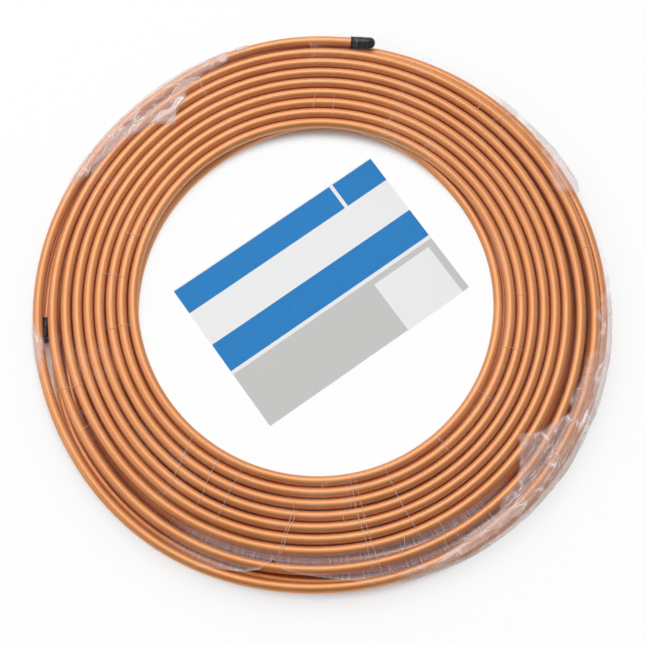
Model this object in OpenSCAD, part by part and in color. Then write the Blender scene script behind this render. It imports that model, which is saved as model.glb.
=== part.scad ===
// Coil of soft copper tube, wound from one length in two flat layers, one on the other.
// It has a cap on each end, a card in its bore and a shrink film over all.
// Millimetres. +Z is up, and the origin is under the centre of the coil's last turn.

/* [Tube] */
// Outside diameter of the tube
tube_od = 6.35; // [4:0.05:10]
// Wall thickness of the tube
tube_wall = 0.508; // [0.4:0.001:1.2]

/* [Coil] */
// Diameter of the bore, inside the innermost half turn
coil_bore = 215; // [210:1:320]
// Whole turns in each layer
turns = 8; // [4:1:12]
// Gap between neighbouring turns of the upper layer
turn_gap = 0.55; // [0.4:0.05:2]
// Gap between the upper and the lower layer
layer_gap = 0.15; // [0.1:0.05:1]
// How far each of the upper layer's last two turns has sprung open
slack = 1.9; // [1:0.1:4]
// Turn of the coil about its axis, in degrees
coil_turn = -2.5; // [-90:0.5:90]

/* [Free ends] */
// Length of the straight stretch at each end of the tube
free_end = 24.8; // [17:0.1:40]

/* [End caps] */
// Wall thickness of an end cap
cap_wall = 0.6; // [0.4:0.05:0.65]
// Length of tube that an end cap covers
cap_grip = 12; // [8:0.5:16]
// Clearance between an end cap and its tube
cap_fit = 0.02; // [0.01:0.01:0.1]

/* [Card] */
// Length of the card
card_l = 151; // [100:1:152]
// Height of the card
card_h = 105; // [60:1:106]
// Thickness of the card
card_t = 0.4; // [0.2:0.05:1]
// Turn of the card in the bore, in degrees
card_turn = 35.5; // [0:0.5:90]
// How far the card lies behind the middle of the bore
card_back = 11.5; // [0:0.5:12]
// How far the card lies to the right of the middle of the bore
card_right = 1.5; // [0:0.5:3]

/* [Shrink film] */
// Thickness of the film
film_t = 0.3; // [0.1:0.05:0.5]
// Clearance between the film's flat faces and the caps
film_gap = 0.3; // [0.15:0.05:0.35]
// Clearance between the film's rim and the upper cap
rim_gap = 0.5; // [0.3:0.05:1]

/* [Hidden] */
$fn = 64;

// Radii are kept to hundredths and the climb's cosine to millionths,
// so that neighbouring half turns meet in the same place.
function hundredths(x) = round(x * 100) / 100;

tube_r = tube_od / 2;
half_pitch = hundredths((tube_od + turn_gap) / 2);
loose_turns = 2;

// The caps are thicker than the tube, so the film lies on them and just clear of the turns.
cap_r = tube_r + cap_fit + cap_wall;
lower_z = film_t + film_gap + cap_r;
upper_z = lower_z + tube_od + layer_gap;

// A layer is a row of half turns, each half a pitch wider than the one inside it.
// Their centres differ along Y, so that each runs on smoothly into the next.
// The half turn that climbs from the lower layer to the upper one is the innermost.
climb_r = hundredths(coil_bore / 2 + tube_r);
climb_cos = round(cos(atan((upper_z - lower_z) / 2 / climb_r)) * 1e6) / 1e6;
climb_tilt = acos(climb_cos);
slope_r = climb_r / climb_cos;
last = 2 * turns;
function is_left(h) = h % 2 == 0;
function looseness(h) = slack * max(0, ceil(h / 2) - (turns - loose_turns));
function upper_r(h) = climb_r + half_pitch * (h + 1) + looseness(h);
function upper_y(h) = (is_left(h) ? half_pitch : 0) - looseness(h);
function lower_r(h) = climb_r + lower_half_pitch * (h + 1);
function lower_y(h) = is_left(h) ? -lower_half_pitch : 0;

// The lower layer ends on the left, and its cap lies midway between the upper layer's last two turns.
// It is wound just tight enough for that.
cap_path_r = upper_r(last) - half_pitch - slack / 2;
cap_front = free_end - cap_grip / 2 + upper_y(last) + half_pitch;
lower_end_r = sqrt(cap_path_r ^ 2 - cap_front ^ 2);
lower_half_pitch = hundredths((lower_end_r - climb_r) / (last + 1));

// The film reaches past the upper cap, which stands out furthest.
film_r = norm([free_end, upper_r(last)]) + cap_r + rim_gap;

module tube_section() {
    difference() {
        circle(r = tube_r);
        circle(r = tube_r - tube_wall);
    }
}

module arc_tube(radius, angle) {
    rotate_extrude(angle = angle)
        translate([radius, 0]) tube_section();
}

module half_turn(radius, left) {
    rotate([0, 0, left ? 90 : -90]) arc_tube(radius, 180);
}

// Puts the coil's last turn over the origin, and its middle height at that of the climb.
module in_coil() {
    rotate([0, 0, coil_turn])
        translate([0, -upper_y(last), (lower_z + upper_z) / 2]) children();
}

// The innermost half turn, tilted so that its front end meets the upper layer
module climb() {
    rotate([-climb_tilt, 0, 0]) half_turn(slope_r, false);
}

// These two lift or lower a layer to the end of the climb that it runs on from.
module in_upper_layer() {
    rotate([-climb_tilt, 0, 0])
        translate([0, -slope_r, 0])
            rotate([climb_tilt, 0, 0])
                translate([0, climb_r, 0]) children();
}

module in_lower_layer() {
    rotate([-climb_tilt, 0, 0])
        translate([0, slope_r, 0])
            rotate([climb_tilt, 0, 0])
                translate([0, -climb_r, 0]) children();
}

// These two place what stands on +Z so that it runs on from the outer end of a layer.
module at_upper_end() {
    translate([0, upper_y(last) + upper_r(last), 0]) rotate([0, 90, 0]) children();
}

module at_lower_end() {
    translate([-lower_r(last), lower_y(last), 0]) rotate([90, 0, 0]) children();
}

module straight_end() {
    linear_extrude(free_end) tube_section();
}

module upper_layer() {
    for (h = [0 : last])
        translate([0, upper_y(h), 0]) half_turn(upper_r(h), is_left(h));
    at_upper_end() straight_end();
}

module lower_layer() {
    for (h = [0 : last - 1])
        translate([0, lower_y(h), 0]) half_turn(lower_r(h), is_left(h));
    translate([0, lower_y(last), 0])
        rotate([0, 0, 90]) arc_tube(lower_r(last), 90);
    at_lower_end() straight_end();
}

module copper_tube() {
    color("#d8905c")
        in_coil() {
            climb();
            in_upper_layer() upper_layer();
            in_lower_layer() lower_layer();
        }
}

// A moulded cap with a round nose, pushed over the end of the tube
module end_cap() {
    color("#1e1f21")
        translate([0, 0, free_end - cap_grip])
            rotate_extrude()
                difference() {
                    union() {
                        square([cap_r, cap_grip]);
                        translate([0, cap_grip]) intersection() {
                            circle(r = cap_r);
                            square(cap_r);
                        }
                    }
                    square([tube_r + cap_fit, cap_grip]);
                }
}

module upper_end_cap() {
    in_coil() in_upper_layer() at_upper_end() end_cap();
}

module lower_end_cap() {
    in_coil() in_lower_layer() at_lower_end() end_cap();
}

module label_card() {
    color("#eceef0")
        translate([card_right, card_back, film_t + card_t / 2])
            rotate([0, 0, card_turn])
                cube([card_l, card_h, card_t], center = true);
}

// Half of the film's section, grown by a given thickness: flat over both faces,
// and rounded at the rim like the outermost turn of each layer
module film_section(grow) {
    rim_r = cap_r + film_gap;
    rim_x = film_r - rim_r;
    for (z = [lower_z, upper_z])
        translate([rim_x, z]) intersection() {
            circle(r = rim_r + grow);
            translate([0, -rim_r - grow]) square([rim_r + grow, 2 * (rim_r + grow)]);
        }
    translate([0, lower_z - rim_r - grow])
        square([rim_x, upper_z - lower_z + 2 * (rim_r + grow)]);
    translate([0, lower_z])
        square([film_r + grow, upper_z - lower_z]);
}

module shrink_film() {
    color("#dfe8f0", 0.25)
        rotate_extrude()
            difference() {
                film_section(film_t);
                film_section(0);
            }
}

copper_tube();
upper_end_cap();
lower_end_cap();
label_card();
shrink_film();
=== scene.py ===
import math

import bpy
import numpy as np
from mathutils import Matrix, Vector


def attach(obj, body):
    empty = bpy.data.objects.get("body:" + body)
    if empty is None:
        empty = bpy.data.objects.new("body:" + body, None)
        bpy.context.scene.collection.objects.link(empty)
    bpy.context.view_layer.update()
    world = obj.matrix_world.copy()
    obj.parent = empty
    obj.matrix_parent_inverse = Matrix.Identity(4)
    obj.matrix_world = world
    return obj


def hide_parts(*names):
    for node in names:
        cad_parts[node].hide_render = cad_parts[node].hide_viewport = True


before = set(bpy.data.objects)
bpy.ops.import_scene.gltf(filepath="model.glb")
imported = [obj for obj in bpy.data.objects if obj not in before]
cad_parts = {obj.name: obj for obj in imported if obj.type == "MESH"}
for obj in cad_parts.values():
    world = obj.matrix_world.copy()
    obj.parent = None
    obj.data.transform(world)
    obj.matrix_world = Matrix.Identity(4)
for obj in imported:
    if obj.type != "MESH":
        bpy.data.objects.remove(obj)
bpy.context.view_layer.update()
scene = bpy.context.scene
scene.view_settings.view_transform = "Standard"

# Sizes in millimetres, as in the part's source
MM = 0.001
TUBE_R = 3.175
CLIMB_R = 110.68
HALF_PITCH = 3.45
LOWER_HALF_PITCH = 3.33
SLACK = 1.9
TURNS = 8
LOOSE_TURNS = 2
LAST = 2 * TURNS
LOWER_Z = 4.395
UPPER_Z = 10.895
COIL_TURN = math.radians(-2.5)
FREE_END = 24.8
CAP_GRIP = 12.0
CAP_R = 3.795
CARD_L, CARD_H, CARD_T = 151.0, 105.0, 0.4
CARD_TURN = math.radians(35.5)
CARD_BACK = 11.5
CARD_RIGHT = 1.5
CARD_Z = 0.3


# Mesh helpers

def make_piece(name, points, faces, node, uvs=None):
    """A smooth mesh piece from points in millimetres, riding on the coil and standing for a CAD node."""
    mesh = bpy.data.meshes.new(name)
    mesh.from_pydata((np.asarray(points) * MM).tolist(), [], faces)
    mesh.polygons.foreach_set("use_smooth", [True] * len(mesh.polygons))
    if uvs is not None:
        layer = mesh.uv_layers.new(name="along")
        index = np.empty(len(mesh.loops), dtype=np.int64)
        mesh.loops.foreach_get("vertex_index", index)
        layer.data.foreach_set("uv", np.asarray(uvs, dtype=np.float32)[index].ravel())
    mesh.update()
    piece = bpy.data.objects.new(name, mesh)
    scene.collection.objects.link(piece)
    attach(piece, "root")
    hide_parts(node)
    return piece


def grid_faces(rows, columns, close_columns):
    """Quads between neighbouring rows of points, row by row."""
    across = columns if close_columns else columns - 1
    return [
        (r * columns + c, r * columns + (c + 1) % columns,
         (r + 1) * columns + (c + 1) % columns, (r + 1) * columns + c)
        for r in range(rows - 1)
        for c in range(across)
    ]


def tube_faces(rows, sides):
    """Faces of a tube made of rings of points, closed at both ends."""
    tip = (rows - 1) * sides
    ends = [tuple(range(sides))[::-1], tuple(tip + k for k in range(sides))]
    return grid_faces(rows, sides, True) + ends


def turned(x, y, angle):
    """Turns points about the vertical axis."""
    c, s = math.cos(angle), math.sin(angle)
    return c * x - s * y, s * x + c * y


def from_table(at, table):
    """Reads a table of (place, value) pairs, with straight lines between them."""
    return np.interp(at, *zip(*table))


def ease(t):
    """Runs from 0 to 1 with a soft start and end."""
    return t * t * (3 - 2 * t)


def smooth_noise(count, knots, seed):
    """A smooth wandering value between about -1 and 1."""
    values = np.random.default_rng(seed).uniform(-1, 1, knots)
    at = np.linspace(0, knots - 1, count)
    low = np.clip(at.astype(int), 0, knots - 2)
    t = ease(at - low)
    return values[low] * (1 - t) + values[low + 1] * t


# Node helpers

def new_material(name):
    material = bpy.data.materials.new(name)
    material.use_nodes = True
    tree = material.node_tree
    return material, tree, tree.nodes["Principled BSDF"]


def add(tree, kind, inputs=None, **settings):
    """Adds a node, sets its properties, and sets or links its inputs."""
    made = tree.nodes.new(kind)
    for key, value in settings.items():
        setattr(made, key, value)
    for key, value in (inputs or {}).items():
        if isinstance(value, bpy.types.NodeSocket):
            tree.links.new(value, made.inputs[key])
        else:
            made.inputs[key].default_value = value
    return made


def math_node(tree, operation, a, b=0.0, clamp=False):
    return add(tree, "ShaderNodeMath", {0: a, 1: b}, operation=operation, use_clamp=clamp).outputs[0]


def times(tree, a, b, clamp=False):
    return math_node(tree, "MULTIPLY", a, b, clamp)


def plus(tree, a, b, clamp=False):
    return math_node(tree, "ADD", a, b, clamp)


def between(tree, value, low, high):
    """1 where a value lies between two limits, and 0 elsewhere."""
    return times(tree, math_node(tree, "GREATER_THAN", value, low), math_node(tree, "LESS_THAN", value, high))


def noise(tree, vector, scale, detail=2.0, roughness=0.5):
    return add(tree, "ShaderNodeTexNoise", {
        "Vector": vector, "Scale": scale, "Detail": detail, "Roughness": roughness,
    }).outputs[0]


def ramp(tree, value, stops, constant=False):
    """A colour ramp with (position, colour) stops."""
    made = add(tree, "ShaderNodeValToRGB", {"Fac": value})
    elements = made.color_ramp.elements
    made.color_ramp.interpolation = "CONSTANT" if constant else "LINEAR"
    while len(elements) < len(stops):
        elements.new(0.5)
    for element, (position, colour) in zip(elements, stops):
        element.position = position
        element.color = (*colour, 1.0)
    return made.outputs["Color"]


def grey(value):
    return (value, value, value)


def grey_ramp(tree, value, stops):
    """A ramp with (position, level) stops."""
    return ramp(tree, value, [(position, grey(level)) for position, level in stops])


def blend_colours(tree, factor, a, b):
    made = add(tree, "ShaderNodeMix", data_type="RGBA")
    for socket, value in ((made.inputs[0], factor), (made.inputs[6], a), (made.inputs[7], b)):
        if isinstance(value, bpy.types.NodeSocket):
            tree.links.new(value, socket)
        else:
            socket.default_value = (*value, 1.0)
    return made.outputs[2]


def add_bump(tree, shader, height, strength, distance):
    bump = add(tree, "ShaderNodeBump", {"Strength": strength, "Distance": distance, "Height": height})
    tree.links.new(bump.outputs[0], shader.inputs["Normal"])


# A soft mottle that copper, caps, card and film share, each at its own scale

def mottle_group():
    tree = bpy.data.node_groups.new("soft mottle", "ShaderNodeTree")
    face = tree.interface
    face.new_socket("Vector", in_out="INPUT", socket_type="NodeSocketVector")
    for name, value in (("Scale", 100.0), ("Detail", 4.0), ("Low", 0.0), ("High", 1.0)):
        socket = face.new_socket(name, in_out="INPUT", socket_type="NodeSocketFloat")
        socket.default_value = value
    face.new_socket("Value", in_out="OUTPUT", socket_type="NodeSocketFloat")
    start = tree.nodes.new("NodeGroupInput").outputs
    end = tree.nodes.new("NodeGroupOutput")
    cloud = noise(tree, start["Vector"], start["Scale"], start["Detail"], 0.6)
    spread = add(tree, "ShaderNodeMapRange", {
        "Value": cloud, "From Min": 0.3, "From Max": 0.7, "To Min": start["Low"], "To Max": start["High"],
    })
    tree.links.new(spread.outputs[0], end.inputs["Value"])
    return tree


MOTTLE = mottle_group()


def mottle(tree, vector, scale, low=0.0, high=1.0, detail=4.0):
    return add(tree, "ShaderNodeGroup", {
        "Vector": vector, "Scale": scale, "Detail": detail, "Low": low, "High": high,
    }, node_tree=MOTTLE).outputs["Value"]


# The tube's path, wound as in the source: half turns, each wider than the one inside it

STEPS = 72  # in a half turn
END_STEPS = 13  # in a straight end
TUBE_SIDES = 18


def looseness(h):
    return SLACK * max(0, math.ceil(h / 2) - (TURNS - LOOSE_TURNS))


def upper_r(h):
    return CLIMB_R + HALF_PITCH * (h + 1) + looseness(h)


def upper_y(h):
    return (HALF_PITCH if h % 2 == 0 else 0.0) - looseness(h)


def lower_r(h):
    return CLIMB_R + LOWER_HALF_PITCH * (h + 1)


def lower_y(h):
    return -LOWER_HALF_PITCH if h % 2 == 0 else 0.0


def arc(radius, centre_y, z, start, end, steps):
    """Points along an arc without its last one, from one angle to another in degrees."""
    angle = np.radians(np.linspace(start, end, steps, endpoint=False))
    return np.column_stack([
        radius * np.cos(angle), centre_y + radius * np.sin(angle), np.full(steps, z)
    ])


def half_turn(radius, centre_y, z, h):
    start, end = (270, 90) if h % 2 == 0 else (90, -90)
    return arc(radius, centre_y, z, start, end, STEPS)


def straight_end(start, way):
    at = np.linspace(0, FREE_END, END_STEPS)[:, None]
    return np.asarray(start) + at * np.asarray(way)


def tube_path():
    """Middle line of the tube: in along the lower layer, up the climb, and out along the upper layer."""
    lower_end = (-lower_r(LAST), lower_y(LAST), LOWER_Z)
    upper_end = (0, upper_y(LAST) + upper_r(LAST), UPPER_Z)
    runs = [straight_end(lower_end, (0, -1, 0))[::-1][:-1]]
    runs.append(arc(lower_r(LAST), lower_y(LAST), LOWER_Z, 180, 90, STEPS // 2))
    for h in range(LAST - 1, -1, -1):
        runs.append(half_turn(lower_r(h), lower_y(h), LOWER_Z, h))
    climb = arc(CLIMB_R, 0.0, 0.0, 90, -90, STEPS)
    climb[:, 2] = UPPER_Z + (LOWER_Z - UPPER_Z) * (climb[:, 1] / CLIMB_R + 1) / 2
    runs.append(climb)
    for h in range(LAST + 1):
        runs.append(half_turn(upper_r(h), upper_y(h), UPPER_Z, h))
    runs.append(straight_end(upper_end, (1, 0, 0)))
    path = np.vstack(runs)
    path[:, 1] -= upper_y(LAST)
    return path


# How the turns lie loose, in millimetres.
# How far each lower turn stands out: (degrees wound since it passed the left, millimetres)
LOWER_STANDS_OUT = [
    (0, 0), (8, 0.1), (20, 0.5), (45, 0.2), (62, 1.2), (76, 3.4), (90, 4.7), (106, 5.4), (140, 7.6),
    (172, 11.0), (205, 12.6), (238, 13.6), (256, 9.6), (270, 7.8), (285, 9.0), (300, 10.0), (315, 9.4),
    (330, 8.0), (337, 6.6), (344, 2.8), (352, 0.3), (360, 0),
]
# Away from the back the innermost lower turns keep their place: (turns from the lower end, share)
STANDS_OUT_SHARE = [(0, 1), (4.9, 1), (7.4, 0)]
# At the back all lower turns stand out, and crowd closer together towards the bore: (degrees, share)
CROWDS_AT_BACK = [(0, 0), (30, 0.2), (62, 0.75), (90, 1), (110, 0.6), (130, 0.1), (145, 0), (360, 0)]
CROWDS_PER_TURN = 0.28
# How far the lower layer lies back: (degrees wound since it passed the left, millimetres)
LOWER_LIES_BACK = [(0, 0), (90, 3.0), (320, 3.0), (360, 0)]
# How far the last two upper turns lie in on the left: (degrees back from the upper end, millimetres)
UPPER_LIES_IN = [
    (0, 0), (30, 0.1), (90, 1.1), (150, 0.3), (180, 0), (380, 0), (450, 1.2), (520, 0.2), (540, 0),
]
# Where the upper layer is pressed in at the back left and bulges at the front left: (angle, millimetres)
UPPER_BULGE = [
    (0, 0), (90, 0), (105, -0.5), (118, -1.6), (130, -2.9), (140, -3.4), (150, -2.7), (160, -1.6),
    (172, -0.8), (182, 0), (208, 0.3), (225, 2.0), (240, 3.2), (250, 2.5), (262, 1.0), (272, 0), (360, 0),
]
BULGE_TURNS = 8.5  # turns in from the upper end over which the bulge dies away
UPPER_WANDERS, LOWER_WANDERS = 0.16, 0.10
WANDER_KNOTS = 140
WANDER_SEED = 5
SMOOTHED_OVER = 17  # points of the path
HELD_OVER = 40.0  # degrees from each end
UPPER_END_SPRINGS = 1.0
SPRINGS_OVER = 30.0  # degrees from the upper end


def loosen(path):
    """Lets all turns wander, the lower layer lie back and stand out, and the upper layer bulge."""
    count = len(path)
    at = np.arange(count)
    angle = np.arctan2(path[:, 1], path[:, 0])
    low = (UPPER_Z - path[:, 2]) / (UPPER_Z - LOWER_Z)
    wound = np.clip((at - END_STEPS + 1) * 180.0 / STEPS, 0, None)
    unwound = np.clip((count - END_STEPS - at) * 180.0 / STEPS, 0, None)
    since_left = wound % 360

    share = from_table(wound / 360, STANDS_OUT_SHARE)
    back = low * from_table(since_left, CROWDS_AT_BACK)
    reach = np.maximum(share, back) * from_table(since_left, LOWER_STANDS_OUT)
    reach += CROWDS_PER_TURN * wound / 360 * back
    wander = UPPER_WANDERS + (LOWER_WANDERS - UPPER_WANDERS) * low
    reach += wander * smooth_noise(count, WANDER_KNOTS, WANDER_SEED)
    reach -= from_table(unwound, UPPER_LIES_IN)
    bulge = from_table(np.degrees(angle) % 360, UPPER_BULGE)
    reach += (1 - low) * bulge * np.clip(1 - unwound / (360 * BULGE_TURNS), 0, 1)
    window = np.hanning(SMOOTHED_OVER)
    padded = np.pad(reach, SMOOTHED_OVER // 2, mode="edge")
    reach = np.convolve(padded, window / window.sum(), mode="valid")

    # Both ends are held in place, apart from a little spring of the upper one.
    reach *= ease(np.clip(np.minimum(wound, unwound) / HELD_OVER, 0, 1))
    reach += UPPER_END_SPRINGS * ease(np.clip(1 - unwound / SPRINGS_OVER, 0, 1))
    loose = path.copy()
    loose[:, 0] += reach * np.cos(angle)
    loose[:, 1] += reach * np.sin(angle) + low * from_table(since_left, LOWER_LIES_BACK)
    return loose


def make_tube(path):
    """A round tube along a path, with its length along u and its girth along v."""
    way = np.gradient(path, axis=0)
    way /= np.linalg.norm(way, axis=1)[:, None]
    across = np.cross(way, (0, 0, 1))
    across /= np.linalg.norm(across, axis=1)[:, None]
    over = np.cross(across, way)
    turn = np.linspace(0, 2 * np.pi, TUBE_SIDES, endpoint=False)[None, :, None]
    ring = np.cos(turn) * across[:, None, :] + np.sin(turn) * over[:, None, :]
    points = (path[:, None, :] + TUBE_R * ring).reshape(-1, 3)
    rows = len(path)
    length = np.concatenate([[0], np.cumsum(np.linalg.norm(np.diff(path, axis=0), axis=1))])
    girth = np.arange(TUBE_SIDES) / TUBE_SIDES
    uvs = np.column_stack([np.repeat(length * MM, TUBE_SIDES), np.tile(girth, rows)])
    return make_piece("copper_coil", points, tube_faces(rows, TUBE_SIDES), "copper_tube", uvs)


def copper_material():
    deep, middle, pale = (0.70, 0.275, 0.085), (0.745, 0.315, 0.105), (0.79, 0.365, 0.14)
    bright_patch, dark_streak = (0.86, 0.44, 0.21), (0.66, 0.28, 0.10)
    material, tree, shader = new_material("annealed copper")
    uv = add(tree, "ShaderNodeUVMap", uv_map="along").outputs[0]
    place = add(tree, "ShaderNodeTexCoord").outputs["Object"]
    # Draw lines run along the tube, so they are long in u and fine in v.
    drawn = add(tree, "ShaderNodeMapping", {"Vector": uv, "Scale": (6.0, 26.0, 1.0)}).outputs[0]
    lines = mottle(tree, drawn, 1.0, detail=5.0)
    clouds = mottle(tree, place, 28.0)
    patches = mottle(tree, place, 9.0, detail=2.0)
    tone = ramp(tree, clouds, [(0.0, deep), (0.5, middle), (1.0, pale)])
    tone = blend_colours(tree, times(tree, patches, 0.22), tone, bright_patch)
    tone = blend_colours(tree, times(tree, lines, 0.16), tone, dark_streak)
    tree.links.new(tone, shader.inputs["Base Color"])
    shader.inputs["Metallic"].default_value = 0.88
    # The film lies on the tube, so a thin sharp sheen runs along each turn.
    shader.inputs["Coat Weight"].default_value = 0.5
    shader.inputs["Coat Roughness"].default_value = 0.14
    satin = plus(tree, times(tree, lines, 0.08), times(tree, clouds, 0.07))
    tree.links.new(plus(tree, satin, 0.5), shader.inputs["Roughness"])
    add_bump(tree, shader, lines, 0.10, 0.0002)
    return material


coil_path = loosen(tube_path())
coil_path[:, 0], coil_path[:, 1] = turned(coil_path[:, 0], coil_path[:, 1], COIL_TURN)
tube = make_tube(coil_path)
tube.data.materials.append(copper_material())


# End caps: moulded vinyl, thicker at the lip, with a round nose and a small dimple in it

CAP_SIDES = 44
CAP_INNER_R = TUBE_R + 0.06
NOSE_R = CAP_R - 0.08
# (distance along the cap, radius) from inside the lip and over the outside to the nose
CAP_WALL = [
    (CAP_GRIP - 0.2, CAP_INNER_R), (4.0, CAP_INNER_R), (0.12, CAP_INNER_R), (0.0, CAP_INNER_R + 0.18),
    (0.0, CAP_R - 0.12), (0.12, CAP_R), (0.9, CAP_R), (1.3, CAP_R - 0.14), (1.9, CAP_R - 0.2),
    (4.0, CAP_R - 0.2), (7.0, CAP_R - 0.17), (10.0, CAP_R - 0.12), (CAP_GRIP, NOSE_R),
]
NOSE_ANGLES = np.radians([12, 24, 36, 48, 58, 67, 75])
# (depth as a share of the nose, radius)
DIMPLE = [(0.985, 0.75), (0.965, 0.6), (0.95, 0.3)]
LUMPY_FROM = 1.0  # distance along the cap
LUMPY_R = TUBE_R + 0.2  # the least radius with lumps


def cap_profile():
    nose = [(CAP_GRIP + NOSE_R * math.sin(a), NOSE_R * math.cos(a)) for a in NOSE_ANGLES]
    dimple = [(CAP_GRIP + NOSE_R * depth, radius) for depth, radius in DIMPLE]
    return CAP_WALL + nose + dimple


def make_cap(name, end, before, node, seed):
    """A cap pushed over an end of the tube, squeezed a little out of round."""
    way = end - before
    way /= np.linalg.norm(way)
    start = end - way * CAP_GRIP
    across = np.cross(way, (0, 0, 1))
    over = np.cross(across, way)
    turn = np.linspace(0, 2 * np.pi, CAP_SIDES, endpoint=False)
    ring = np.cos(turn)[:, None] * across + np.sin(turn)[:, None] * over
    wide, narrow = np.random.default_rng(seed).uniform(0, 2 * np.pi, 2)
    profile = cap_profile()
    points, uvs = [], []
    for along, radius in profile:
        r = np.full(CAP_SIDES, radius)
        if radius > LUMPY_R and along > LUMPY_FROM:
            r += 0.11 * np.sin(2 * turn + wide + along * 0.45) + 0.06 * np.sin(5 * turn + narrow + along * 0.9)
            r -= 0.05
        points.append(start + along * way + r[:, None] * ring)
        uvs.append(np.column_stack([np.full(CAP_SIDES, along), turn]))
    faces = tube_faces(len(profile), CAP_SIDES)
    return make_piece(name, np.vstack(points), faces, node, np.vstack(uvs))


def vinyl_material():
    material, tree, shader = new_material("black vinyl")
    place = add(tree, "ShaderNodeTexCoord").outputs["Object"]
    scuff = mottle(tree, place, 420.0)
    broad = mottle(tree, place, 120.0, detail=2.0)
    tone = ramp(tree, scuff, [(0.0, grey(0.004)), (0.7, grey(0.008)), (1.0, (0.022, 0.023, 0.026))])
    tree.links.new(tone, shader.inputs["Base Color"])
    shader.inputs["Specular IOR Level"].default_value = 0.3
    tree.links.new(plus(tree, times(tree, scuff, 0.14), 0.14), shader.inputs["Roughness"])
    add_bump(tree, shader, plus(tree, times(tree, scuff, 0.4), broad), 0.35, 0.0004)
    return material


vinyl = vinyl_material()
for cap in (
    make_cap("upper_cap", coil_path[-1], coil_path[-3], "upper_end_cap", 3),
    make_cap("lower_cap", coil_path[0], coil_path[2], "lower_end_cap", 8),
):
    cap.data.materials.append(vinyl)


# The card: a thin printed sheet with plain colour fields, lying on the lower film

CARD_COLUMNS, CARD_ROWS = 61, 41
BLUE, WHITE, PANEL = (0.0, 0.205, 0.560), (0.88, 0.885, 0.89), (0.59, 0.59, 0.58)
# Colour fields as shares of the card's height and length: bands from the bottom up,
# a slit through the top band, and a pale box in the panel
UPPER_BAND = 0.826
CARD_BANDS = [(0.0, PANEL), (0.374, WHITE), (0.397, BLUE), (0.591, WHITE), (UPPER_BAND, BLUE), (0.992, WHITE)]
SLIT = (0.785, 0.801)
BOX = (0.689, 0.968)
BOX_TOP = 0.34


def make_card():
    uu, vv = np.meshgrid(np.linspace(0, 1, CARD_COLUMNS), np.linspace(0, 1, CARD_ROWS))
    curl = 0.5 * (2 * uu - 1) ** 4 + 0.35 * (2 * vv - 1) ** 4 + 0.12 * np.sin(5 * uu + 2) * np.sin(4 * vv)
    x, y = turned((uu - 0.5) * CARD_L, (vv - 0.5) * CARD_H, CARD_TURN)
    x, y, z = x + CARD_RIGHT, y + CARD_BACK, CARD_Z + curl.clip(0)
    top = np.stack([x, y, z + CARD_T], axis=-1).reshape(-1, 3)
    under = np.stack([x, y, z], axis=-1).reshape(-1, 3)
    count = len(top)
    faces = grid_faces(CARD_ROWS, CARD_COLUMNS, False)
    faces += [tuple(count + k for k in face[::-1]) for face in faces]
    number = np.arange(count).reshape(CARD_ROWS, CARD_COLUMNS)
    edge = np.concatenate([number[0], number[1:, -1], number[-1, -2::-1], number[-2:0:-1, 0]]).tolist()
    for a, b in zip(edge, edge[1:] + edge[:1]):
        faces.append((b, a, count + a, count + b))
    uv = np.column_stack([uu.ravel(), vv.ravel()])
    points, uvs = np.vstack([top, under]), np.vstack([uv, uv])
    card = make_piece("printed_card", points, faces, "label_card", uvs)
    card.data.polygons.foreach_set("use_smooth", [False] * len(card.data.polygons))
    return card


def card_material():
    fibre_tone = (0.62, 0.64, 0.66)
    bare_dark, bare_pale = (0.50, 0.47, 0.42), (0.60, 0.57, 0.52)
    material, tree, shader = new_material("coated card")
    uv = add(tree, "ShaderNodeUVMap", uv_map="along").outputs[0]
    place = add(tree, "ShaderNodeTexCoord").outputs["Object"]
    u, v, _ = add(tree, "ShaderNodeSeparateXYZ", {0: uv}).outputs
    print_tone = ramp(tree, v, CARD_BANDS, True)
    slit = times(tree, between(tree, u, *SLIT), math_node(tree, "GREATER_THAN", v, UPPER_BAND))
    print_tone = blend_colours(tree, slit, print_tone, WHITE)
    box = times(tree, between(tree, u, *BOX), math_node(tree, "LESS_THAN", v, BOX_TOP))
    print_tone = blend_colours(tree, box, print_tone, WHITE)
    fibre = mottle(tree, place, 900.0, 0.0, 0.03)
    print_tone = blend_colours(tree, fibre, print_tone, fibre_tone)
    # Only the upper face is printed.
    normal = add(tree, "ShaderNodeNewGeometry").outputs["Normal"]
    facing_up = add(tree, "ShaderNodeSeparateXYZ", {0: normal}).outputs[2]
    printed = math_node(tree, "GREATER_THAN", facing_up, 0.5)
    bare = ramp(tree, mottle(tree, place, 500.0), [(0.0, bare_dark), (1.0, bare_pale)])
    tree.links.new(blend_colours(tree, printed, bare, print_tone), shader.inputs["Base Color"])
    shader.inputs["Specular IOR Level"].default_value = 0.2
    gloss = plus(tree, times(tree, mottle(tree, place, 60.0), 0.1), 0.5)
    tree.links.new(gloss, shader.inputs["Roughness"])
    add_bump(tree, shader, fibre, 0.05, 0.0002)
    return material


card = make_card()
card.data.materials.append(card_material())


# Shrink film: one pouch over both faces, drawn in at the rim, bunched at its corners, open at the front

FILM_COLUMNS = 900
FILM_BORE = 106.0
FILM_TOP = UPPER_Z + TUBE_R + 0.15
FILM_UNDER = 0.16
BORE_SAG = 1.5
RIM_CLEAR = 0.4
SHOULDER = 2.6  # from the shoulder of the rim to its outermost line
OPEN_ROWS = 11  # rows of the rim that are open at the front
BUNCHED_LEAST = 0.2
RAGGED = 2.2
SUNK_DEPTH = 1.1
CAP_LIFT = 0.75

film_angle = np.radians(np.arange(FILM_COLUMNS) * 360.0 / FILM_COLUMNS)
film_degrees = np.degrees(film_angle)

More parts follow.
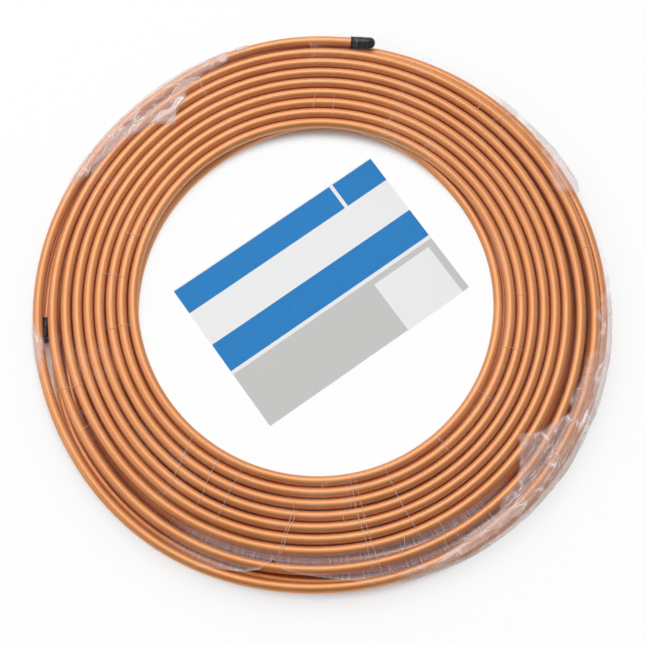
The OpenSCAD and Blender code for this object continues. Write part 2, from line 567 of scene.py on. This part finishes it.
# Tables round the rim: (angle in degrees, millimetres)
# How far in from the rim the bunched film reaches
BUNCHED = [
    (0, 4), (6, 0), (24, 0), (25, 9), (28, 9), (33, 6), (42, 3), (52, 0), (104, 0), (112, 5), (121, 12),
    (125, 20), (128, 25), (131, 17), (140, 9), (148, 8), (155, 1), (158, 0), (184, 0), (190, 5), (196, 0),
    (284, 0), (292, 4), (300, 7), (311, 10), (319, 16), (322, 24), (325, 31), (329, 20), (336, 12), (350, 8),
    (360, 4),
]
# How far the bunched film stands out from the rim
STANDS_OFF = [
    (0, 1.2), (24, 0.8), (26, 2.6), (34, 2.2), (44, 0.6), (52, 0.2), (104, 0.2), (128, 1.2), (150, 0.8),
    (158, 0.1), (284, 0.2), (300, 1.2), (325, 2.6), (345, 2.2), (360, 1.2),
]
# The film has shrunk open over the front rim: how far in its edge has drawn back
OPEN_EDGE = [
    (246, 0), (250, 3.5), (255, 6.0), (258, 9.0), (260.5, 16.0), (262.5, 11.0), (266, 9.0), (272, 6.5),
    (277, 3.5), (281, 0),
]
# Where the film has sunk into the open gaps at the front: (angle in degrees, share)
SUNK = [(236, 0), (252, 1), (300, 1), (316, 0)]


def outline_of(points, reach):
    """The farthest that tube reaches from the axis in each direction, smoothed as taut film is."""
    angle = np.degrees(np.arctan2(points[:, 1], points[:, 0])) % 360
    radius = np.hypot(points[:, 0], points[:, 1]) + reach
    column = (angle * FILM_COLUMNS / 360).astype(int) % FILM_COLUMNS
    far = np.zeros(FILM_COLUMNS)
    np.maximum.at(far, column, radius)
    for _ in range(12):
        far = np.maximum(far, np.maximum(np.roll(far, 1), np.roll(far, -1)) - 0.02)
    spread = np.array([1, 4, 6, 4, 1]) / 16.0
    for _ in range(6):
        far = sum(w * np.roll(far, k - 2) for k, w in enumerate(spread))
    return far


def ridged(x, y, seed, octaves=4):
    """Sharp-edged folds, from 0 in the valleys to 1 on the ridges."""
    total = np.zeros(np.broadcast(x, y).shape)
    rng = np.random.default_rng(seed)
    weight, sum_weight, scale = 1.0, 0.0, 1.0
    for _ in range(octaves):
        way = rng.uniform(0, 2 * np.pi)
        shift = rng.uniform(0, 100, 4)
        px = scale * (math.cos(way) * x + math.sin(way) * y)
        py = scale * (-math.sin(way) * x + math.cos(way) * y)
        bend_x = 1.7 * np.sin(0.83 * py + shift[0])
        bend_y = 1.5 * np.sin(0.71 * px + shift[2])
        wave = np.sin(px + bend_x + shift[1]) * np.sin(0.9 * py + bend_y + shift[3])
        total += weight * (1 - np.abs(wave))
        sum_weight += weight
        weight *= 0.55
        scale *= 1.9
    return total / sum_weight


def loose_gaps():
    """(middle radius, half width) round the coil of the gaps between the last three turns."""
    upper = coil_path[coil_path[:, 2] > UPPER_Z - 0.1]
    degrees = np.degrees(np.arctan2(upper[:, 1], upper[:, 0])) % 360
    radius = np.hypot(upper[:, 0], upper[:, 1])

    def turn_radius(number):
        """Radius of a turn at each column of the film; turns are numbered inwards from 1."""
        turn = slice(-END_STEPS - 2 * STEPS * number, -END_STEPS - 2 * STEPS * (number - 1))
        order = np.argsort(degrees[turn])
        return np.interp(film_degrees, degrees[turn][order], radius[turn][order], period=360)

    found = []
    for number in (1, 2):
        outer, inner = turn_radius(number), turn_radius(number + 1)
        half_width = np.maximum((outer - inner) / 2 - TUBE_R + 0.6, 0.3)
        found.append(((inner + outer) / 2, half_width))
    return found


def film_rows():
    """(part, share) of each row, from the middle of the upper face, over the rim, to that of the lower face."""
    parts = (
        ("bore_top", np.linspace(0.03, 1, 14)),
        ("face_top", np.linspace(0, 1, 52)[1:]),
        ("rim", np.linspace(0, 1, 20)[1:]),
        ("face_under", np.linspace(1, 0, 12)[1:]),
        ("bore_under", np.linspace(1, 0.03, 9)[1:]),
    )
    return [(part, t) for part, shares in parts for t in shares]


def make_film(rows):
    """Points of the film, with how far it is bunched and sunk at each."""
    shoulder = outline_of(coil_path, TUBE_R) + RIM_CLEAR - SHOULDER
    reach_in, stand_off = from_table(film_degrees, BUNCHED), from_table(film_degrees, STANDS_OFF)
    is_bunched = reach_in > BUNCHED_LEAST
    ragged = RAGGED * smooth_noise(FILM_COLUMNS, 150, 31)
    reach_in = np.where(is_bunched, np.maximum(reach_in + ragged, BUNCHED_LEAST + 0.01), 0.0)
    opening = from_table(film_degrees, OPEN_EDGE)
    open_edge = shoulder - opening
    sunk_here = from_table(film_degrees, SUNK)
    gaps = loose_gaps()
    cap_tip = coil_path[-1]
    points, crumple, painted_sheen = [], [], []
    for part, t in rows:
        bunched, sunk = np.zeros(FILM_COLUMNS), np.zeros(FILM_COLUMNS)
        out = 0.0
        if part == "bore_top":
            r = np.full(FILM_COLUMNS, FILM_BORE * t)
            z = np.full(FILM_COLUMNS, FILM_TOP - BORE_SAG * (1 - t * t))
        elif part == "face_top":
            r = FILM_BORE + (open_edge - FILM_BORE) * t
            z = np.full(FILM_COLUMNS, FILM_TOP)
            bunched = np.clip((r - (shoulder - reach_in)) / 2.6, 0, 1) * is_bunched
            lip = np.clip(1 - (open_edge - r) / 1.8, 0, 1) * (opening > 0.2)
            bunched = np.maximum(bunched, 0.55 * lip)
            for middle, width in gaps:
                inside = np.clip(1.25 - np.abs(r - middle) / width, 0, 1) * sunk_here
                sunk = np.maximum(sunk, inside)
                z -= SUNK_DEPTH * inside
        elif part == "rim":
            turn = t * math.pi
            r = shoulder + SHOULDER * abs(math.sin(turn)) ** 0.55
            level = (1 + math.copysign(abs(math.cos(turn)) ** 0.6, math.cos(turn))) / 2
            z = np.full(FILM_COLUMNS, FILM_UNDER + (FILM_TOP - FILM_UNDER) * level)
            waist = math.sin(turn) ** 2
            out = stand_off * waist
            bunched = np.clip(reach_in / 3.0, 0, 1) * (0.55 + 0.45 * waist)
        elif part == "face_under":
            r = FILM_BORE + (shoulder - FILM_BORE) * t
            z = np.full(FILM_COLUMNS, FILM_UNDER)
            bunched = np.clip((r - (shoulder - 0.6 * reach_in)) / 3.0, 0, 1) * is_bunched
        else:
            r = np.full(FILM_COLUMNS, FILM_BORE * t)
            z = np.full(FILM_COLUMNS, FILM_UNDER)
        arc_at = film_angle * 160.0
        folds = ridged(arc_at / 10.0 + r / 9.0, r / 2.4 + z / 2.2, 21)
        fine = ridged(arc_at / 4.0, r / 1.5 + z / 1.6, 22, 3)
        lift = bunched * (0.9 * (folds - 0.5) + 0.25 * (fine - 0.5))
        if part == "rim":
            r = r + out + lift * 0.8
        if part in ("bore_top", "face_top"):
            z += np.maximum(lift * 1.3, -0.1) + 0.35 * bunched
        x, y = r * np.cos(film_angle), r * np.sin(film_angle)
        if part in ("face_top", "rim"):
            over_cap = np.exp(-(((x - cap_tip[0] + 7) / 13) ** 2 + ((y - cap_tip[1]) / 7) ** 2))
            z += np.where(z > 8, CAP_LIFT * over_cap, 0)
        points.append(np.column_stack([x, y, z]))
        crumple.append(bunched)
        # The sunk share also carries the painted sheen in the film's material.
        painted_sheen.append(sunk)
    return np.vstack(points), np.concatenate(crumple), np.concatenate(painted_sheen)


# Long creases: (start angle, end angle, start radius, end radius), in degrees and millimetres
LONG_CREASES = [
    (281.0, 282.8, 108, 172), (279.6, 281.2, 110, 168), (290.7, 293.0, 106, 163), (263.7, 261.0, 122, 158),
    (264.4, 261.4, 126, 157), (228.2, 231.8, 112, 140), (246.2, 245.5, 108, 148), (238.2, 240.3, 110, 147),
    (276.5, 276.5, 131, 136), (289.8, 287.6, 151, 162), (283.9, 285.5, 165, 172), (300.4, 299.7, 158, 172),
    (298.2, 296.6, 150, 171), (308.0, 307.2, 163, 173), (86.0, 85.7, 121, 138), (91.6, 90.7, 126, 137),
    (52.0, 51.0, 158, 171), (47.0, 45.4, 161, 172), (12.0, 11.6, 166, 175), (2.5, 2.0, 118, 128),
    (345.5, 346.3, 112, 130), (330.0, 329.3, 110, 124), (310.5, 309.8, 108, 126), (187.0, 187.8, 114, 130),
    (172.6, 172.0, 120, 138), (159.0, 160.1, 118, 132), (200.0, 199.4, 150, 172), (118.0, 117.2, 150, 168),
]
CREASE_STEPS = 26
CREASE_RISE = 0.3
CREASE_SEED = 44


def crease_ridges(first):
    """Thin three-sided ridges on the film's upper face, one for each long crease."""
    rng = np.random.default_rng(CREASE_SEED)
    t = np.linspace(0, 1, CREASE_STEPS)
    points, faces = [], []
    for a0, a1, r0, r1 in LONG_CREASES:
        weave = 0.16 * np.sin(t * rng.uniform(5, 11) + rng.uniform(0, 6))
        angle = np.radians(a0 + (a1 - a0) * t + weave)
        radius = r0 + (r1 - r0) * t
        level = np.full(CREASE_STEPS, FILM_TOP + 0.02)
        middle = np.column_stack([radius * np.cos(angle), radius * np.sin(angle), level])
        side = np.column_stack([-np.sin(angle), np.cos(angle), np.zeros(CREASE_STEPS)])
        width = (0.12 + 0.07 * rng.random()) * np.sin(np.pi * (0.04 + 0.92 * t)) ** 0.5
        side *= width[:, None]
        start = first + len(points) * 3 * CREASE_STEPS
        ring = np.stack([middle - side, middle + side, middle + [0, 0, CREASE_RISE]], axis=1)
        points.append(ring.reshape(-1, 3))
        faces += [tuple(start + k for k in face) for face in tube_faces(CREASE_STEPS, 3)]
    return np.vstack(points), faces


def film_piece():
    rows = film_rows()
    points, crumple, painted_sheen = make_film(rows)
    count = len(points)
    opened = from_table(film_degrees, OPEN_EDGE) > 0.3
    first_rim = next(k for k, row in enumerate(rows) if row[0] == "rim")
    faces = []
    for face in grid_faces(len(rows), FILM_COLUMNS, True):
        row, column = divmod(face[0], FILM_COLUMNS)
        in_opening = opened[column] and opened[(column + 1) % FILM_COLUMNS]
        if in_opening and first_rim - 1 <= row < first_rim + OPEN_ROWS:
            continue
        faces.append(face[::-1])
    points = np.vstack([points, (0, 0, FILM_TOP - BORE_SAG), (0, 0, FILM_UNDER)])
    last = (len(rows) - 1) * FILM_COLUMNS
    for c in range(FILM_COLUMNS):
        n = (c + 1) % FILM_COLUMNS
        faces.append((count, c, n))
        faces.append((count + 1, last + n, last + c))
    sheet_faces = len(faces)
    ridges, ridge_faces = crease_ridges(len(points))
    faces += ridge_faces
    points = np.vstack([points, ridges])
    plain = np.zeros(len(points) - count)
    # Points of the opening that no face uses any more go.
    used = np.unique(np.concatenate([np.asarray(face) for face in faces]))
    renumber = np.full(len(points), -1)
    renumber[used] = np.arange(len(used))
    faces = [tuple(int(renumber[k]) for k in face) for face in faces]
    film = make_piece("clear_film", points[used], faces, "shrink_film")
    for name, values in (("crumple", crumple), ("painted_sheen", painted_sheen)):
        layer = film.data.attributes.new(name, "FLOAT", "POINT")
        layer.data.foreach_set("value", np.concatenate([values, plain])[used].astype(np.float32))
    film.data.materials.append(film_material())
    film.data.materials.append(crease_material())
    slots = np.zeros(len(faces), dtype=np.int32)
    slots[sheet_faces:] = 1
    film.data.polygons.foreach_set("material_index", slots)


def film_material():
    # The pink bunched tone is a painted reflection of the copper in the bunched film.
    clear_tone, painted_copper_reflection_tone = (0.90, 0.89, 0.90), (0.90, 0.71, 0.66)
    # The grey-purple sunk tone is a painted sheen of the film over the dark gaps.
    painted_sheen_tone, painted_glint_tone = (0.50, 0.43, 0.45), (0.96, 0.94, 0.94)
    material, tree, shader = new_material("clear shrink film")
    material.surface_render_method = "BLENDED"
    place = add(tree, "ShaderNodeTexCoord").outputs["Object"]
    x, y, z = add(tree, "ShaderNodeSeparateXYZ", {0: place}).outputs
    angle = math_node(tree, "ARCTAN2", y, x)
    flat = add(tree, "ShaderNodeCombineXYZ", {0: x, 1: y}).outputs[0]
    radius = add(tree, "ShaderNodeVectorMath", {0: flat}, operation="LENGTH").outputs["Value"]
    bunched = add(tree, "ShaderNodeAttribute", attribute_name="crumple").outputs["Fac"]
    sunk = add(tree, "ShaderNodeAttribute", attribute_name="painted_sheen").outputs["Fac"]
    on_coil = grey_ramp(tree, times(tree, radius, 5.0), [(0.52, 0.0), (0.56, 1.0)])

    # Faint creases run outwards from the bore as pale lines, partly the film's own creases and partly a painted
    # highlight along them; the noise is long in radius and narrow in angle.
    polar = add(tree, "ShaderNodeCombineXYZ", {
        0: times(tree, angle, 40.0), 1: times(tree, radius, 9.0), 2: 0.3,
    }).outputs[0]
    crease_cloud = noise(tree, polar, 1.0, 3.0, 0.65)
    nearness = math_node(tree, "ABSOLUTE", math_node(tree, "SUBTRACT", crease_cloud, 0.5))
    crease = grey_ramp(tree, nearness, [(0.0, 1.0), (0.004, 0.5), (0.011, 0.0)])
    sparse = grey_ramp(tree, noise(tree, place, 30.0), [(0.54, 0.0), (0.68, 1.0)])
    crease = times(tree, times(tree, crease, sparse), on_coil)

    # Bunched film is broken into facets that run along the rim, each more or less opaque, partly as the
    # crumpled film's own haze and partly as a painted reflection, with painted glints on their edges.
    bend = times(tree, noise(tree, place, 70.0, 1.0), 2.2)
    along = add(tree, "ShaderNodeCombineXYZ", {
        0: times(tree, angle, 9.0),
        1: plus(tree, times(tree, radius, 290.0), bend),
        2: times(tree, z, 180.0),
    }).outputs[0]
    cells = add(tree, "ShaderNodeTexVoronoi", {"Vector": along, "Scale": 0.8}).outputs["Color"]
    facet = add(tree, "ShaderNodeSeparateColor", {0: cells}).outputs[0]
    facet = grey_ramp(tree, facet, [(0.0, 0.14), (0.6, 0.26), (0.85, 0.38), (1.0, 0.62)])
    edges = []
    for scale, stops in (
        (0.8, [(0.0, 1.0), (0.02, 0.6), (0.06, 0.0)]),
        (1.9, [(0.0, 0.7), (0.03, 0.3), (0.08, 0.0)]),
    ):
        edge = add(tree, "ShaderNodeTexVoronoi", {"Vector": along, "Scale": scale}, feature="DISTANCE_TO_EDGE")
        edges.append(grey_ramp(tree, edge.outputs["Distance"], stops))
    broken = mottle(tree, place, 110.0, -0.5, 1.2, 2.0)
    painted_glint = times(tree, math_node(tree, "MAXIMUM", *edges), broken, clamp=True)
    veil_and_painted_reflection = plus(tree, times(tree, facet, 0.95), mottle(tree, along, 0.5, 0.0, 0.16))
    bright = times(tree, plus(tree, times(tree, painted_glint, 0.62), veil_and_painted_reflection), bunched)

    # Film sunk between two turns gets a painted grey-purple sheen, standing for its reflection over the dark
    # gaps, broken into fine stripes across.
    stripe = add(tree, "ShaderNodeTexNoise", {
        "W": times(tree, angle, 120.0), "Scale": 1.0, "Detail": 2.0,
    }, noise_dimensions="1D").outputs[0]
    stripe = grey_ramp(tree, stripe, [(0.35, 0.2), (0.55, 0.34), (0.68, 0.55)])
    painted_sheen = times(tree, sunk, stripe)

    glance = add(tree, "ShaderNodeLayerWeight", {"Blend": 0.25}).outputs["Facing"]
    glance = times(tree, math_node(tree, "POWER", glance, 3.0), 0.16)
    thin = plus(tree, times(tree, on_coil, 0.009), 0.007)
    alpha = plus(tree, times(tree, crease, 0.28), bright)
    alpha = plus(tree, alpha, plus(tree, glance, painted_sheen))
    tree.links.new(plus(tree, alpha, thin, clamp=True), shader.inputs["Alpha"])

    # Bunched film takes the pink tone, a painted reflection of the copper.
    tone = blend_colours(tree, bunched, clear_tone, painted_copper_reflection_tone)
    # Sunk film takes the grey-purple painted sheen.
    tone = blend_colours(tree, sunk, tone, painted_sheen_tone)
    # Painted highlight: glint lines on bunched film turn near white.
    tone = blend_colours(tree, times(tree, painted_glint, bunched), tone, painted_glint_tone)
    tree.links.new(tone, shader.inputs["Base Color"])
    tree.links.new(plus(tree, times(tree, bunched, 0.14), 0.14), shader.inputs["Roughness"])
    fold_cloud = noise(tree, along, 1.0, 3.0, 0.55)
    add_bump(tree, shader, plus(tree, crease_cloud, times(tree, fold_cloud, bunched)), 0.3, 0.0006)
    return material


def crease_material():
    """Film folded on itself, a thin real ridge with the light it catches along that line painted in as a bright
    cream tone.
    """
    warm, pale = (0.98, 0.88, 0.78), (1.0, 0.95, 0.89)
    material, tree, shader = new_material("film crease with painted highlight")
    material.surface_render_method = "BLENDED"
    place = add(tree, "ShaderNodeTexCoord").outputs["Object"]
    tree.links.new(mottle(tree, place, 160.0, 0.25, 0.9), shader.inputs["Alpha"])
    # Painted highlight: the crease is toned a bright warm cream.
    tone = ramp(tree, mottle(tree, place, 90.0), [(0.0, warm), (1.0, pale)])
    tree.links.new(tone, shader.inputs["Base Color"])
    shader.inputs["Roughness"].default_value = 0.35
    return material


film_piece()


# Floor, light and camera, in metres

FLOOR_HALF = 3.0
FLOOR_WALL = 0.6
FLOOR_BELOW = 0.0003
# (distance from the axis, share of plain white): none under the coil, so the gaps between turns are dark
FLOOR_WHITE = [(0.11025, 0.95), (0.116, 0.0), (0.173, 0.0), (0.18, 0.74), (0.205, 0.9), (0.45, 1.0)]


def make_floor():
    """White paper under the coil, turned up in a low wall far round it."""
    mesh = bpy.data.meshes.new("floor")
    half = FLOOR_HALF
    corners = [(-half, -half), (half, -half), (half, half), (-half, half)]
    points = [(x, y, z) for z in (0.0, FLOOR_WALL) for x, y in corners]
    walls = [(k, k + 4, (k + 1) % 4 + 4, (k + 1) % 4) for k in range(4)]
    mesh.from_pydata(points, [], [(0, 1, 2, 3)] + walls)
    floor = bpy.data.objects.new("floor", mesh)
    floor.location.z = -FLOOR_BELOW
    scene.collection.objects.link(floor)
    material, tree, shader = new_material("white paper sweep")
    grain = add(tree, "ShaderNodeTexNoise", {"Scale": 400.0}).outputs[0]
    tree.links.new(grey_ramp(tree, grain, [(0.0, 0.92), (1.0, 0.95)]), shader.inputs["Base Color"])
    shader.inputs["Roughness"].default_value = 0.9
    shader.inputs["Specular IOR Level"].default_value = 0.1
    path = add(tree, "ShaderNodeLightPath").outputs
    seen = math_node(tree, "MAXIMUM", path["Is Glossy Ray"], path["Is Transmission Ray"])
    seen = math_node(tree, "MAXIMUM", path["Is Camera Ray"], seen)
    place = add(tree, "ShaderNodeTexCoord").outputs["Object"]
    radius = add(tree, "ShaderNodeVectorMath", {0: place}, operation="LENGTH").outputs["Value"]
    share = grey_ramp(tree, times(tree, radius, 2.0), [(2 * at, level) for at, level in FLOOR_WHITE])
    white = add(tree, "ShaderNodeEmission", {"Color": (1, 1, 1, 1), "Strength": 1.0})
    mix = add(tree, "ShaderNodeMixShader", {
        0: times(tree, seen, share), 1: shader.outputs[0], 2: white.outputs[0],
    })
    tree.links.new(mix.outputs[0], tree.nodes["Material Output"].inputs["Surface"])
    mesh.materials.append(material)


def make_world():
    """A studio that is brighter behind the coil than in front."""
    world = bpy.data.worlds.new("studio")
    world.use_nodes = True
    scene.world = world
    tree = world.node_tree
    light = tree.nodes["Background"]
    light.inputs["Color"].default_value = (1.0, 1.0, 1.0, 1.0)
    way = add(tree, "ShaderNodeTexCoord").outputs["Generated"]
    behind = add(tree, "ShaderNodeSeparateXYZ", {0: way}).outputs[1]
    strength = add(tree, "ShaderNodeMapRange", {
        "Value": behind, "From Min": -0.9, "From Max": 0.7, "To Min": 0.07, "To Max": 0.78,
    }).outputs[0]
    tree.links.new(strength, light.inputs["Strength"])


def soft_lamp(name, place, size, power):
    """A square or oblong lamp that points at the middle of the coil."""
    data = bpy.data.lights.new(name, "AREA")
    data.shape = "RECTANGLE"
    data.size, data.size_y = size
    data.energy = power
    lamp = bpy.data.objects.new(name, data)
    lamp.location = place
    lamp.rotation_euler = (-Vector(place)).to_track_quat("-Z", "Y").to_euler()
    scene.collection.objects.link(lamp)


def make_camera():
    """Stands over the near side of the coil and looks down, at the photograph's angle."""
    distance, tilt = 0.938, math.radians(14.5)
    focal_px, frame_px, sensor = 1515.5, 646.0, 36.0
    aim = Vector((0.0027, -0.0101, 0.0))
    data = bpy.data.cameras.new("camera")
    data.sensor_width = sensor
    data.lens = sensor * focal_px / frame_px
    camera = bpy.data.objects.new("camera", data)
    back = Vector((0.0, -math.sin(tilt), math.cos(tilt)))
    camera.location = aim + distance * back
    camera.rotation_euler = (-back).to_track_quat("-Z", "Y").to_euler()
    scene.collection.objects.link(camera)
    scene.camera = camera


make_floor()
make_world()
soft_lamp("overhead", (-0.28, 0.62, 1.2), (1.1, 0.9), 10.5)
soft_lamp("left fill", (-1.2, -0.3, 0.7), (0.9, 0.9), 3.0)
make_camera()
